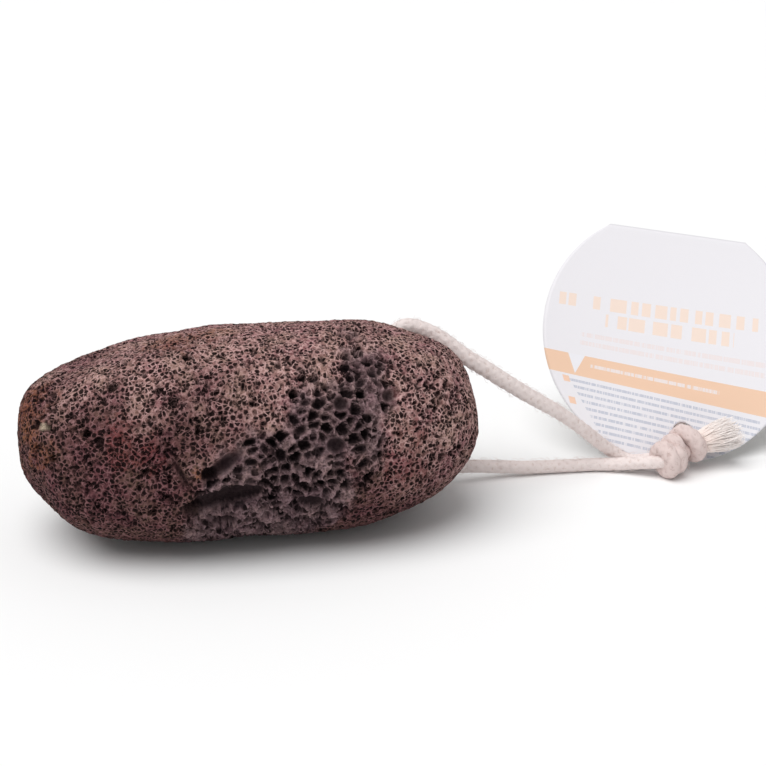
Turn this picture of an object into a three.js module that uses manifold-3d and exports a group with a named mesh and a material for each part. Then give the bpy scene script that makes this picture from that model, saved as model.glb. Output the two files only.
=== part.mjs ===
// A pumice stone for the feet, on a loop of cotton cord with a folded card tag.
// Millimetres, +Z up. The stone lies on its belly with its long side along X, and
// the origin is under the middle of it. The drilled end is at +X.

import * as THREE from 'three';
import { mergeVertices } from 'three/addons/utils/BufferGeometryUtils.js';
import Module from 'manifold-3d';

const wasm = await Module();
wasm.setup();

// Driving dimensions of the stone
const HALF_LENGTH = 49.5;
const HALF_WIDTH = 26;
const HALF_THICKNESS = 23.1;
const END_FULLNESS = 2.6; // exponent along the length: 2 is an ellipse, more is blunter
const SECTION_FULLNESS = 2.3; // exponent round the section
const ROLL = THREE.MathUtils.degToRad(14); // the stone lies rolled back by this much
const BODY_HEIGHT = 22.4; // from the flat of the belly up to the middle of the stone

// Broad lumps and hollows of its form: [middle in the stone's own axes], height, width
const LUMPS = [
  { at: [-44, -4, 11], high: 2.0, wide: 6 }, // brow of the narrow end
  { at: [-36, -4, 17], high: -3.3, wide: 7 }, // the dip behind the brow
  { at: [-20, -6, 22], high: -1.2, wide: 10 },
  { at: [5, -6, 23], high: -0.8, wide: 10 },
  { at: [28, -4, 21], high: 0.8, wide: 9 }, // shoulder over the drilled end
  { at: [42, -2, 14], high: 0.9, wide: 7 },
  { at: [28, -12, -18], high: 0.7, wide: 9 },
  { at: [-34, -10, -16], high: 1.1, wide: 8 },
  { at: [-45, -6, -10], high: -1.5, wide: 6 },
];

// Rings round the long axis, and points in each ring
const RINGS = 36;
const RING_POINTS = 29;

// The drilled hole, and the cord through it
const BORE = { x: 34, y: 11.5, radius: 3.2, mouth: 4.6, mouthDepth: 2.5 };
const CORD_RADIUS = 1.5;
const CORD_SIDES = 8;
const CORD_STEPS = 54;
const GAP = 0.3;

// Coarse bubbles: a band across the front, from low left to high right, in x and z
const BAND = { low: [-2, 12], high: [22, 40], lowRadius: 15.5, highRadius: 8 };
const BAND_SPACING = 4.6;
const BAND_PIT = [1.15, 2.05]; // radius of a bubble, least and most
const SKIN_SPACING = 13;
const SKIN_PIT = [0.85, 1.45];
const FLOOR_CLEAR = 3; // no pits lower than this, so that the belly stays a flat rest
const GOLDEN_TURN = Math.PI * (3 - Math.sqrt(5));

// Deep pockets on the front face: middle, half sizes, and turn in the face
const POCKETS = [
  { at: [-7.8, -27.2, 25.6], half: [6.6, 3.4, 2.3], turn: -34 }, // slanting trough
  { at: [-11.9, -25.6, 23.0], half: [1.9, 3.4, 1.6], turn: 0 }, // pit in its lower end
  { at: [-8.7, -26.0, 17.0], half: [8.6, 4.4, 2.8], turn: -11 }, // long hollow below it
  { at: [-15.2, -24.2, 15.0], half: [2.4, 4.2, 2.2], turn: 0 },
  { at: [-9.2, -22.8, 10.8], half: [3.0, 3.6, 1.9], turn: -8 },
  { at: [-18.3, -25.2, 24.8], half: [5.8, 1.5, 0.7], turn: 64 }, // dark crack
  { at: [14.5, -25.6, 27.0], half: [2.5, 2.6, 2.1], turn: 10 },
  { at: [16.2, -23.0, 35.4], half: [2.1, 2.6, 2.0], turn: 0 },
  { at: [27.0, -20.8, 35.4], half: [2.3, 2.4, 1.9], turn: 0 },
  { at: [9.2, -25.2, 14.4], half: [3.6, 3.0, 1.8], turn: 12 },
];
const NOTCH = { at: [49.4, -10.6, 25.2], half: [1.6, 3.2, 1.2], turn: 0 }; // nick in the drilled end

// Where the cord runs: from the knot along the surface, under the stone, up the
// hole, over the shoulder and down to the knot again
const ROUTE = [
  [98.4, 4.4, 4.4], [94.8, 6.9, 3.5], [91.4, 9.2, 2.7], [88, 11.0, 2.0], [83, 12.6, 1.7], [75, 13.3, 1.7], [67, 13.5, 2.0],
  [60, 13.4, 2.8], [53, 12.7, 3.8], [47.5, 12.0, 4.3], [43, 11.6, 4.3], [39.1, 11.5, 4.2],
  [36.65, 11.5, 4.7], [34.55, 11.5, 6.1], [33.2, 11.5, 8.2], [32.7, 11.5, 10.8],
  [32.6, 11.5, 16], [32.6, 11.5, 22], [32.5, 11.5, 28], [32.5, 11.5, 33],
  [32.9, 11.6, 35.7], [34.2, 11.7, 37.6], [36.2, 11.9, 39.0], [38.6, 11.9, 39.2],
  [42.2, 11.5, 37.9], [45.8, 10.6, 35.7], [50.2, 9.5, 32.3], [55.2, 9.1, 28.9],
  [60.5, 9.3, 25.1], [66.5, 9.9, 20.9], [73.5, 10.8, 16.2], [79.5, 12.0, 11.4],
  [84.3, 13.4, 7.1], [88.2, 14.1, 3.9], [91.8, 12.9, 2.0],
  [95.3, 10.7, 2.6], [98.8, 8.2, 4.2],
];

// The knot: bands of cord wound round a core that points to its frayed ends
const KNOT_FROM = new THREE.Vector3(98.4, 5.6, 4.5);
const KNOT_TO = new THREE.Vector3(105.2, 9.2, 5.8);
const BAND_RADIUS = 2.75; // from the knot's axis to the middle of a band
const BAND_THICK = 1.6;
const WRAPS = [
  { along: 0.08, tilt: [0.35, 0.5] },
  { along: 0.5, tilt: [-0.3, -0.45] },
  { along: 0.92, tilt: [0.25, -0.4] },
];

// The frayed ends: a flattened brush, and the second end, which goes through the tag
const BRUSH_PROFILE = [[0, 0], [1.9, 0], [2.5, 2], [4.0, 6], [4.9, 9], [4.4, 11], [0, 11.6]];
const BRUSH_TIP = new THREE.Vector3(117.2, 11.4, 7.6);
const BRUSH_FLATNESS = 0.62;

// The tag: a round card folded at the top, standing as a tent on the lower edges of its
// two leaves, the back one a little smaller than the front one
const TAG_RADIUS = 31.4;
const BACK_RADIUS = 27.45;
const TAG_THICKNESS = 0.5;
const FOLD_ABOVE_MIDDLE = 26.4;
const TAG_FOOT = new THREE.Vector3(105.7, 12.3, 0.3);
const LEAN_FRONT = THREE.MathUtils.degToRad(34);
const LEAN_BACK = THREE.MathUtils.degToRad(-12.1);
const TAG_YAW = THREE.MathUtils.degToRad(-5);
const TAG_TURN = THREE.MathUtils.degToRad(-10.3);
const HOLE_RADIUS = 2.5;
const HOLE_AT = [4.67, -23.5]; // across and up the front leaf, from its middle

// Solids in and out of the boolean library

function toSolid(geometry) {
  const plain = geometry.clone();
  plain.deleteAttribute('normal');
  plain.deleteAttribute('uv');
  const merged = mergeVertices(plain, 1e-4);
  return new wasm.Manifold(new wasm.Mesh({
    numProp: 3,
    vertProperties: new Float32Array(merged.attributes.position.array),
    triVerts: new Uint32Array(merged.index.array),
  }));
}

function toGeometry(solid) {
  const mesh = solid.getMesh();
  const geometry = new THREE.BufferGeometry();
  geometry.setAttribute('position', new THREE.BufferAttribute(mesh.vertProperties, 3));
  geometry.setIndex(new THREE.BufferAttribute(mesh.triVerts, 1));
  geometry.computeVertexNormals();
  return geometry;
}

// The stone's form

// Superellipsoid: how far the surface is from the middle in the direction (x, y, z)
function formRadius(x, y, z) {
  const across = Math.abs(y / HALF_WIDTH) ** SECTION_FULLNESS + Math.abs(z / HALF_THICKNESS) ** SECTION_FULLNESS;
  const along = Math.abs(x / HALF_LENGTH) ** END_FULLNESS;
  const plain = (across ** (END_FULLNESS / SECTION_FULLNESS) + along) ** (-1 / END_FULLNESS);
  let radius = plain;
  for (const { at, high, wide } of LUMPS) {
    const apart = Math.hypot(x * plain - at[0], y * plain - at[1], z * plain - at[2]);
    radius += high * Math.exp(-(apart ** 2) / (2 * wide ** 2));
  }
  // slow waves, so that no side is a true ellipse
  const [px, py, pz] = [x * plain, y * plain, z * plain];
  radius += 0.28 * Math.sin(px / 4.1 + pz / 6.3) * Math.sin(py / 4.7 - px / 9.1);
  radius += 0.22 * Math.sin(pz / 3.2 - px / 5.3 + py / 7.7);
  return radius;
}

// A point of the surface where the stone lies: rolled back and lifted onto its belly
function surfacePoint(x, y, z) {
  const radius = formRadius(x, y, z);
  const [px, py, pz] = [x * radius, y * radius, z * radius];
  return new THREE.Vector3(
    px,
    py * Math.cos(ROLL) + pz * Math.sin(ROLL),
    -py * Math.sin(ROLL) + pz * Math.cos(ROLL) + BODY_HEIGHT,
  );
}

function formGeometry() {
  const points = [];
  const faces = [];
  points.push(surfacePoint(-1, 0, 0));
  for (let ring = 1; ring < RINGS; ring += 1) {
    // equal steps along the length near the middle, closer ones at the two ends
    const polar = (Math.PI * ring) / RINGS;
    const x = -Math.cos(polar) * 2.1;
    for (let i = 0; i < RING_POINTS; i += 1) {
      const turn = (2 * Math.PI * (i + 0.5 * (ring % 2))) / RING_POINTS;
      const direction = new THREE.Vector3(x, Math.sin(polar) * Math.cos(turn), Math.sin(polar) * Math.sin(turn));
      direction.normalize();
      points.push(surfacePoint(direction.x, direction.y, direction.z));
    }
  }
  points.push(surfacePoint(1, 0, 0));
  const last = points.length - 1;
  const at = (ring, i) => 1 + (ring - 1) * RING_POINTS + ((i + RING_POINTS) % RING_POINTS);
  for (let i = 0; i < RING_POINTS; i += 1) {
    faces.push(0, at(1, i + 1), at(1, i));
    faces.push(last, at(RINGS - 1, i), at(RINGS - 1, i + 1));
  }
  for (let ring = 1; ring < RINGS - 1; ring += 1) {
    for (let i = 0; i < RING_POINTS; i += 1) {
      // rows are staggered by half a step, so the diagonal changes from row to row
      const shift = ring % 2;
      faces.push(at(ring, i), at(ring, i + 1), at(ring + 1, i + shift));
      faces.push(at(ring, i + 1 - shift), at(ring + 1, i + 1), at(ring + 1, i));
    }
  }
  const geometry = new THREE.BufferGeometry().setFromPoints(points);
  geometry.setIndex(faces);
  return geometry;
}

// How far inside the coarse band a point is, in mm: less than 0 is outside it
function insideBand(point) {
  const [lowX, lowZ] = BAND.low;
  const [runX, runZ] = [BAND.high[0] - lowX, BAND.high[1] - lowZ];
  const along = ((point.x - lowX) * runX + (point.z - lowZ) * runZ) / (runX ** 2 + runZ ** 2);
  const t = THREE.MathUtils.clamp(along, 0, 1);
  const apart = Math.hypot(point.x - lowX - t * runX, point.z - lowZ - t * runZ);
  const inside = THREE.MathUtils.lerp(BAND.lowRadius, BAND.highRadius, t) - apart;
  return point.y < 0 ? inside : -BAND.lowRadius;
}

function ellipsoid(detail, half, turn, at) {
  const shape = new THREE.IcosahedronGeometry(1, detail);
  shape.scale(half[0], half[1], half[2]);
  shape.rotateY(THREE.MathUtils.degToRad(turn));
  shape.translate(at[0], at[1], at[2]);
  return toSolid(shape);
}

// Points spread evenly over the stone by the golden turn, about `spacing` apart
function spreadPoints(spacing) {
  const count = Math.round(12600 / spacing ** 2);
  const found = [];
  for (let k = 0; k < count; k += 1) {
    const x = -1 + (2 * (k + 0.5)) / count;
    const side = Math.sqrt(1 - x * x);
    const turn = k * GOLDEN_TURN;
    const direction = new THREE.Vector3(x * 2.0, side * Math.cos(turn), side * Math.sin(turn)).normalize();
    found.push(surfacePoint(direction.x, direction.y, direction.z));
  }
  return found;
}

function pits() {
  const found = [];
  const add = (point, k, [least, most], sink) => {
    const radius = THREE.MathUtils.lerp(least, most, (k * 0.618034) % 1);
    const middle = new THREE.Vector3(0, 0, BODY_HEIGHT);
    const inward = new THREE.Vector3(point.x * 0.35, middle.y, middle.z).sub(new THREE.Vector3(point.x, point.y, point.z));
    const at = point.clone().addScaledVector(inward.normalize(), radius * sink);
    const half = [radius * 1.12, radius, radius * 0.92];
    found.push(ellipsoid(0, half, (k * 137) % 180, at.toArray()));
  };
  const clear = (point) => point.z > FLOOR_CLEAR
    && Math.hypot(point.x - BORE.x, point.y - BORE.y) > BORE.mouth + 3;
  spreadPoints(BAND_SPACING).forEach((point, k) => {
    if (clear(point) && insideBand(point) > 0.8) add(point, k, BAND_PIT, 0.35);
  });
  spreadPoints(SKIN_SPACING).forEach((point, k) => {
    if (clear(point) && insideBand(point) < -1) add(point, k, SKIN_PIT, 0.2);
  });
  return found;
}

function boreSolids() {
  const upright = (top, bottom, high, z) => {
    const shape = new THREE.CylinderGeometry(top, bottom, high, 20);
    shape.rotateX(Math.PI / 2);
    shape.translate(BORE.x, BORE.y, z);
    return toSolid(shape);
  };
  const { radius, mouth, mouthDepth } = BORE;
  return [
    upright(radius, radius, 80, BODY_HEIGHT),
    upright(mouth + 1.2, radius, mouthDepth * 2, 39.4 + mouthDepth * 0.35),
    upright(radius, mouth + 1.2, mouthDepth * 2, 4.6 - mouthDepth * 0.35),
  ];
}

function stoneSolid() {
  let stone = toSolid(formGeometry());
  const below = new THREE.BoxGeometry(200, 200, 40);
  below.translate(0, 0, -20);
  stone = stone.subtract(toSolid(below));
  for (const { at, half, turn } of [...POCKETS, NOTCH]) {
    const detail = half[0] > 4 ? 1 : 0;
    stone = stone.subtract(ellipsoid(detail, half, turn, at));
  }
  for (const solid of [...pits(), ...boreSolids()]) {
    stone = stone.subtract(solid);
  }
  return stone;
}

// The cord, its knot and its ends

function cordGeometry() {
  const route = new THREE.CatmullRomCurve3(ROUTE.map((p) => new THREE.Vector3(...p)), false, 'catmullrom', 0.5);
  const section = new THREE.Shape();
  for (let i = 0; i < CORD_SIDES; i += 1) {
    const turn = (2 * Math.PI * (i + 0.5)) / CORD_SIDES;
    const [x, y] = [CORD_RADIUS * Math.cos(turn), CORD_RADIUS * Math.sin(turn)];
    if (i === 0) section.moveTo(x, y);
    else section.lineTo(x, y);
  }
  section.closePath();
  return new THREE.ExtrudeGeometry(section, { steps: CORD_STEPS, extrudePath: route, bevelEnabled: false });
}

// The cord as far as the knot: what the knot itself holds of it is cut off
function cordSolid() {
  const lengths = toSolid(cordGeometry()).subtract(knotSolid(GAP)).decompose();
  return lengths.sort((a, b) => b.volume() - a.volume())[0];
}

// The knot's solid, fatter by `grow` when it is used to cut room for itself
function knotSolid(grow) {
  const axis = KNOT_TO.clone().sub(KNOT_FROM);
  const lie = new THREE.Quaternion().setFromUnitVectors(new THREE.Vector3(0, 0, 1), axis.clone().normalize());
  const core = new THREE.SphereGeometry(1, 10, 7);
  core.scale(2.6 + grow, 2.6 + grow, axis.length() * 0.66 + grow);
  core.applyQuaternion(lie);
  const middle = KNOT_FROM.clone().lerp(KNOT_TO, 0.5);
  core.translate(middle.x, middle.y, middle.z);
  let knot = toSolid(core);
  for (const { along, tilt } of WRAPS) {
    const band = new THREE.TorusGeometry(BAND_RADIUS, BAND_THICK + grow, 7, 12);
    band.rotateX(tilt[0]);
    band.rotateY(tilt[1]);
    band.applyQuaternion(lie);
    const at = KNOT_FROM.clone().lerp(KNOT_TO, along);
    band.translate(at.x, at.y, at.z);
    knot = knot.add(toSolid(band));
  }
  return knot;
}

function endsSolid() {
  const run = BRUSH_TIP.clone().sub(KNOT_TO);
  const profile = BRUSH_PROFILE.map(([r, y]) => new THREE.Vector2(r, y));
  const brush = new THREE.LatheGeometry(profile, 12);
  brush.scale(1, run.length() / BRUSH_PROFILE.at(-1)[1], BRUSH_FLATNESS);
  brush.applyQuaternion(new THREE.Quaternion().setFromUnitVectors(new THREE.Vector3(0, 1, 0), run.normalize()));
  brush.translate(KNOT_TO.x, KNOT_TO.y, KNOT_TO.z);
  // the second end bends back and up through the hole in the tag
  const hole = tagPoint(HOLE_AT[0], HOLE_AT[1], frontLeaf());
  const out = tagNormal(frontLeaf());
  const bend = new THREE.CatmullRomCurve3([
    KNOT_TO.clone(),
    hole.clone().addScaledVector(out, -2.4),
    hole.clone(),
    hole.clone().addScaledVector(out, 4.5),
  ]);
  const circle = new THREE.Shape().absarc(0, 0, CORD_RADIUS * 0.9, 0, 2 * Math.PI, false);
  const second = new THREE.ExtrudeGeometry(circle, { steps: 6, extrudePath: bend, bevelEnabled: false, curveSegments: 4 });
  return toSolid(brush).add(toSolid(second)).subtract(knotSolid(GAP));
}

// The tag

function leafAxes(lean) {
  const right = new THREE.Vector3(Math.cos(TAG_YAW), Math.sin(TAG_YAW), 0);
  const back = new THREE.Vector3(-Math.sin(TAG_YAW), Math.cos(TAG_YAW), 0);
  const up = new THREE.Vector3(0, 0, Math.cos(lean)).addScaledVector(back, Math.sin(lean));
  return { right, up };
}

// The front leaf's axes, middle, radius and fold: its disc touches the ground at the foot
function frontLeaf() {
  const { right, up } = leafAxes(LEAN_FRONT);
  const across = right.clone().multiplyScalar(Math.cos(TAG_TURN)).addScaledVector(up, Math.sin(TAG_TURN));
  const rise = right.clone().multiplyScalar(-Math.sin(TAG_TURN)).addScaledVector(up, Math.cos(TAG_TURN));
  const middle = TAG_FOOT.clone().addScaledVector(up, TAG_RADIUS);
  return { across, rise, middle, radius: TAG_RADIUS, fold: FOLD_ABOVE_MIDDLE };
}

// The back leaf is turned about the fold, which is as long on it as on the front one
function backLeaf() {
  const front = frontLeaf();
  const crease = front.middle.clone().addScaledVector(front.rise, FOLD_ABOVE_MIDDLE);
  const rise = front.rise.clone().applyAxisAngle(front.across, LEAN_FRONT - LEAN_BACK);
  const fold = Math.sqrt(BACK_RADIUS ** 2 - TAG_RADIUS ** 2 + FOLD_ABOVE_MIDDLE ** 2);
  return { across: front.across, rise, middle: crease.addScaledVector(rise, -fold), radius: BACK_RADIUS, fold };
}

function tagPoint(across, up, leaf) {
  return leaf.middle.clone().addScaledVector(leaf.across, across).addScaledVector(leaf.rise, up);
}

// The side of a leaf that looks away from its reader
function tagNormal(leaf) {
  return new THREE.Vector3().crossVectors(leaf.rise, leaf.across).normalize();
}

function leafSolid(leaf, withHole) {
  const foldAngle = Math.asin(leaf.fold / leaf.radius);
  const outline = new THREE.Shape();
  outline.absarc(0, 0, leaf.radius, Math.PI - foldAngle, 2 * Math.PI + foldAngle, false);
  outline.closePath();
  if (withHole) {
    outline.holes.push(new THREE.Path().absarc(HOLE_AT[0], HOLE_AT[1], HOLE_RADIUS, 0, 2 * Math.PI, true));
  }
  const card = new THREE.ExtrudeGeometry(outline, { depth: TAG_THICKNESS, bevelEnabled: false, curveSegments: 14 });
  card.translate(0, 0, -TAG_THICKNESS / 2);
  const facing = new THREE.Vector3().crossVectors(leaf.across, leaf.rise);
  const place = new THREE.Matrix4().makeBasis(leaf.across, leaf.rise, facing).setPosition(leaf.middle);
  card.applyMatrix4(place);
  return toSolid(card);
}

function tagSolid() {
  const front = frontLeaf();
  const half = Math.sqrt(TAG_RADIUS ** 2 - FOLD_ABOVE_MIDDLE ** 2);
  const crease = new THREE.CylinderGeometry(TAG_THICKNESS * 0.8, TAG_THICKNESS * 0.8, half * 2, 8);
  crease.applyQuaternion(new THREE.Quaternion().setFromUnitVectors(new THREE.Vector3(0, 1, 0), front.across));
  const fold = tagPoint(0, FOLD_ABOVE_MIDDLE, front);
  crease.translate(fold.x, fold.y, fold.z);
  const below = new THREE.BoxGeometry(400, 400, 20);
  below.translate(0, 0, -10);
  return leafSolid(front, true).add(leafSolid(backLeaf(), false)).add(toSolid(crease)).subtract(toSolid(below));
}

// The finished pieces

const lava = new THREE.MeshStandardMaterial({ color: 0x64494a, roughness: 0.95, metalness: 0 });
const cotton = new THREE.MeshStandardMaterial({ color: 0xdccfca, roughness: 0.9, metalness: 0 });
const knottedCotton = new THREE.MeshStandardMaterial({ color: 0xcbbbb9, roughness: 0.9, metalness: 0 });
const frayedCotton = new THREE.MeshStandardMaterial({ color: 0xe2d2c6, roughness: 0.95, metalness: 0 });
const card = new THREE.MeshStandardMaterial({ color: 0xf1f0f4, roughness: 0.6, metalness: 0 });

function piece(name, geometry, material) {
  const mesh = new THREE.Mesh(geometry, material);
  mesh.name = name;
  return mesh;
}

const group = new THREE.Group();
group.add(piece('stone', toGeometry(stoneSolid()), lava));
group.add(piece('cord', toGeometry(cordSolid()), cotton));
group.add(piece('knot', toGeometry(knotSolid(0)), knottedCotton));
group.add(piece('cord_ends', toGeometry(endsSolid()), frayedCotton));
group.add(piece('swing_tag', toGeometry(tagSolid()), card));

export default group;
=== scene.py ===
# %% [markdown]
# # A pumice foot stone on a cotton cord
# The real object is a lump of bubbly lava, tumbled until it fits the hand, with a hole
# drilled near one end. A cotton cord runs through the hole and is knotted to itself, and
# a round card, folded at the top, hangs on one of the cord's ends. The solid model gives
# every piece its place and size. This lesson gives each its surface.

# %% Load the solid model
import math
from functools import partial

import bpy
import numpy as np
from mathutils import Matrix


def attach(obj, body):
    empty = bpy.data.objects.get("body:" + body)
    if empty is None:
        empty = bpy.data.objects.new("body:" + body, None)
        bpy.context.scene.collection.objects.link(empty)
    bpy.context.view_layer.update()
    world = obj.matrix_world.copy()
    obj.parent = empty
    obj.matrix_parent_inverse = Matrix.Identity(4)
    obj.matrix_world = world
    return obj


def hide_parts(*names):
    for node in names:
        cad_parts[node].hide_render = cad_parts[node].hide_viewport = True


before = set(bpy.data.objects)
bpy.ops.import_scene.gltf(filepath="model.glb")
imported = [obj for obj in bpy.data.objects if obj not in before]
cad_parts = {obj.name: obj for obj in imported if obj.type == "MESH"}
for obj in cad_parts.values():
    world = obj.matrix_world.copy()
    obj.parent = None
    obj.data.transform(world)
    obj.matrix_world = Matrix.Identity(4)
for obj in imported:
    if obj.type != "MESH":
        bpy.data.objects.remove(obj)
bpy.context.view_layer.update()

MM = 0.001  # metres in a millimetre

# %% [markdown]
# Colours are written as sRGB hex values, the way a painter's program shows them, and
# Blender works in linear light, so one function turns the first into the second. A
# second one adds a shader node with its settings and links, and gives back its output.
# A third lays colours over each other as glazes, each with its own share, and two more
# open and close a material. The lesson uses nothing else to build its materials.

# %% Colours and shader nodes


def linear(text):
    """A hex colour such as "8a6f6d" in linear light, with sRGB's curve undone."""
    srgb = np.array([int(text[i:i + 2], 16) for i in (0, 2, 4)]) / 255
    value = np.where(srgb <= 0.04045, srgb / 12.92, ((srgb + 0.055) / 1.055) ** 2.4)
    return (*value.tolist(), 1.0)


def node(tree, kind, inputs=(), out=0, stops=(), **settings):
    """Add a node and give one output: inputs are values or sockets to link, in order or by name
    or number, stops are a ramp's places and hex colours, and settings are its properties."""
    made = tree.nodes.new("ShaderNode" + kind)
    for name, value in settings.items():
        setattr(made, name, value)
    for key, value in dict(inputs if isinstance(inputs, dict) else enumerate(inputs)).items():
        if isinstance(value, bpy.types.NodeSocket):
            tree.links.new(value, made.inputs[key])
        else:
            made.inputs[key].default_value = value
    for index, (place, colour) in enumerate(stops):
        ramp = made.color_ramp.elements
        stop = ramp[index] if index < 2 else ramp.new(place)
        stop.position, stop.color = place, linear(colour)
    return made.outputs[out] if made.outputs else made


def new_material(name):
    """An empty node material, and the function that adds a node to it."""
    material = bpy.data.materials.new(name)
    material.use_nodes = True
    material.node_tree.nodes.clear()
    return material, partial(node, material.node_tree)


def glaze(add, ground, layers):
    """Lay each layer's colour over what is below: below + share * (colour - below), where the
    share is the product of the layer's factors. A colour is hex text or a socket."""
    for factors, colour in layers:
        share = factors[0]
        for factor in factors[1:]:
            share = add("Math", [share, factor], operation="MULTIPLY")
        below, above = (linear(c) if isinstance(c, str) else c for c in (ground, colour))
        # a Mix node's two colours are its inputs 6 and 7, and the mixed one is its output 2
        ground = add("Mix", {0: share, 6: below, 7: above}, out=2, data_type="RGBA")
    return ground


def finish_material(add, **inputs):
    """Close a material: a Principled shader with these inputs, into the output."""
    shader = add("BsdfPrincipled", {key.replace("_", " "): value for key, value in inputs.items()})
    add("OutputMaterial", {"Surface": shader})


print("sRGB 80 in linear light:", round(linear("808080")[0], 3))

# %% [markdown]
# The camera stands a little to the left of the stone and looks down at it by 20 degrees,
# as one does at a thing on a table. Its lens is worked out from the scale wanted at the
# aim point: 4.57 pixels to the millimetre in a frame 766 pixels wide.

# %% Camera
FRAME_PX = 766
PX_PER_MM = 4.57
SENSOR_MM = 36.0
AIM_MM = np.array([29.5, 0.0, 30.7])
TURN, RISE = math.radians(-12), math.radians(20)
DISTANCE_MM = 400.0


def add_camera():
    """Camera at AIM + distance * back, with its axes (right, up, back) as its rotation."""
    back = np.array([math.sin(TURN) * math.cos(RISE), -math.cos(TURN) * math.cos(RISE), math.sin(RISE)])
    right = np.array([math.cos(TURN), math.sin(TURN), 0.0])
    up = np.cross(back, right)
    lens = bpy.data.cameras.new("camera")
    lens.sensor_width = SENSOR_MM
    lens.lens = SENSOR_MM * PX_PER_MM * DISTANCE_MM / FRAME_PX
    lens.clip_start, lens.clip_end = 0.01, 20.0
    camera = bpy.data.objects.new("camera", lens)
    turn = Matrix(np.column_stack([right, up, back]).tolist()).to_4x4()
    place = (AIM_MM + back * DISTANCE_MM) * MM
    camera.matrix_world = Matrix.Translation(place.tolist()) @ turn
    bpy.context.collection.objects.link(camera)
    return camera


camera = add_camera()
bpy.context.scene.camera = camera
print(f"lens {camera.data.lens:.1f} mm at {DISTANCE_MM:.0f} mm")

# %% [markdown]
# The light is that of a product table: an even pale surround, and a wide soft lamp high
# up and to the front left, so far away that the whole floor gets the same from it. The
# floor is plain and pale. Colours are shown as they are, without a film curve, so that a
# measured colour stays that colour.

# %% Floor and light
SURROUND = 0.43
LAMP_FROM = np.array([-0.36, -0.24, 0.9])
LAMP_STRENGTH = 2.35
LAMP_WIDTH = math.radians(55)
FLOOR_HALF = 3.0  # metres


def add_stage():
    """A floor six metres wide, and a matt off-white material for it."""
    mesh = bpy.data.meshes.new("floor")
    corners = [(x * FLOOR_HALF, y * FLOOR_HALF, 0) for x, y in ((-1, -1), (1, -1), (1, 1), (-1, 1))]
    mesh.from_pydata(corners, [], [(0, 1, 2, 3)])
    floor = bpy.data.objects.new("floor", mesh)
    bpy.context.collection.objects.link(floor)
    material, add = new_material("paper_sweep")
    finish_material(add, Base_Color=linear("f7f7f7"), Roughness=0.9, Specular_IOR_Level=0.2)
    mesh.materials.append(material)


def add_lights():
    """A white surround, and a sun lamp as wide as a soft box turned to shine from LAMP_FROM."""
    world = bpy.data.worlds.new("surround")
    world.use_nodes = True
    bpy.context.scene.world = world
    surround = world.node_tree.nodes["Background"]
    surround.inputs["Color"].default_value = linear("ffffff")
    surround.inputs["Strength"].default_value = SURROUND
    lamp = bpy.data.lights.new("key", "SUN")
    lamp.energy, lamp.angle = LAMP_STRENGTH, LAMP_WIDTH
    holder = bpy.data.objects.new("key", lamp)
    back = LAMP_FROM / np.linalg.norm(LAMP_FROM)
    right = np.cross([0, 0, 1], back)
    right /= np.linalg.norm(right)
    holder.matrix_world = Matrix(np.column_stack([right, np.cross(back, right), back]).tolist()).to_4x4()
    bpy.context.collection.objects.link(holder)


add_stage()
add_lights()
bpy.context.scene.view_settings.view_transform = "Standard"
print(f"lamp {math.degrees(LAMP_WIDTH):.0f} degrees wide, surround {SURROUND}")

# %% [markdown]
# Four helpers serve every surface below. One makes a mesh object from arrays of points
# and faces. One gives the normals of a mesh held in arrays. The third is a smooth random
# field: a sum of waves in random directions, so that it is the same on every run and
# has a value anywhere in space. The last is a smooth step between two limits.

# %% Arrays to meshes


def add_mesh(name, points_mm, faces, material, **attributes):
    """A mesh object from points in mm, with nothing under the table at z = 0; attributes are
    arrays with one number a point."""
    points_mm = np.column_stack([points_mm[:, :2], np.maximum(points_mm[:, 2], 0)])
    mesh = bpy.data.meshes.new(name)
    mesh.vertices.add(len(points_mm))
    mesh.vertices.foreach_set("co", (points_mm * MM).astype(np.float32).ravel())
    corners = faces.shape[1]
    mesh.loops.add(faces.size)
    mesh.loops.foreach_set("vertex_index", faces.astype(np.int32).ravel())
    mesh.polygons.add(len(faces))
    mesh.polygons.foreach_set("loop_start", np.arange(0, faces.size, corners, dtype=np.int32))
    for key, values in attributes.items():
        mesh.attributes.new(key, "FLOAT", "POINT").data.foreach_set("value", np.asarray(values, np.float32))
    mesh.update(calc_edges=True)
    mesh.polygons.foreach_set("use_smooth", np.full(len(faces), True))
    mesh.materials.append(material)
    made = bpy.data.objects.new(name, mesh)
    bpy.context.collection.objects.link(made)
    return made


def point_normals(points, quads):
    """Unit normals at the points: the sum of the crossed diagonals of the quads that meet there."""
    crossed = np.cross(points[quads[:, 2]] - points[quads[:, 0]], points[quads[:, 3]] - points[quads[:, 1]])
    total = np.zeros_like(points)
    for corner in range(4):
        np.add.at(total, quads[:, corner], crossed)
    return total / np.linalg.norm(total, axis=1, keepdims=True)


def waves(points, size_mm, seed, count=9):
    """Smooth noise from about -1 to 1: a sum of sines whose wave lengths are near size_mm, over
    1.6 times what such a sum spreads."""
    draws = np.random.default_rng(seed)
    total = np.zeros(len(points))
    for _ in range(count):
        direction = draws.normal(size=3)
        direction *= 2 * math.pi / size_mm * draws.uniform(0.6, 1.4) / np.linalg.norm(direction)
        total += np.sin(points @ direction + draws.uniform(0, 2 * math.pi))
    return total / math.sqrt(count / 2) / 1.6


def step(low, high, value):
    """0 below low, 1 above high, and a smooth S between them."""
    t = np.clip((value - low) / (high - low), 0, 1)
    return t * t * (3 - 2 * t)


print("a smooth step in quarters:", step(0, 1, np.linspace(0, 1, 5)).round(2))

# %% [markdown]
# The stone's form is the solid's own: a superellipsoid, which is an ellipsoid with
# fuller ends, with a few broad lumps. It is rolled back a little, and worn flat where it
# lies. A net of six patches covers it, as the six sides of a box would if the box were
# blown up, so that its meshes are nearly the same size all over and it has no poles.

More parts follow.
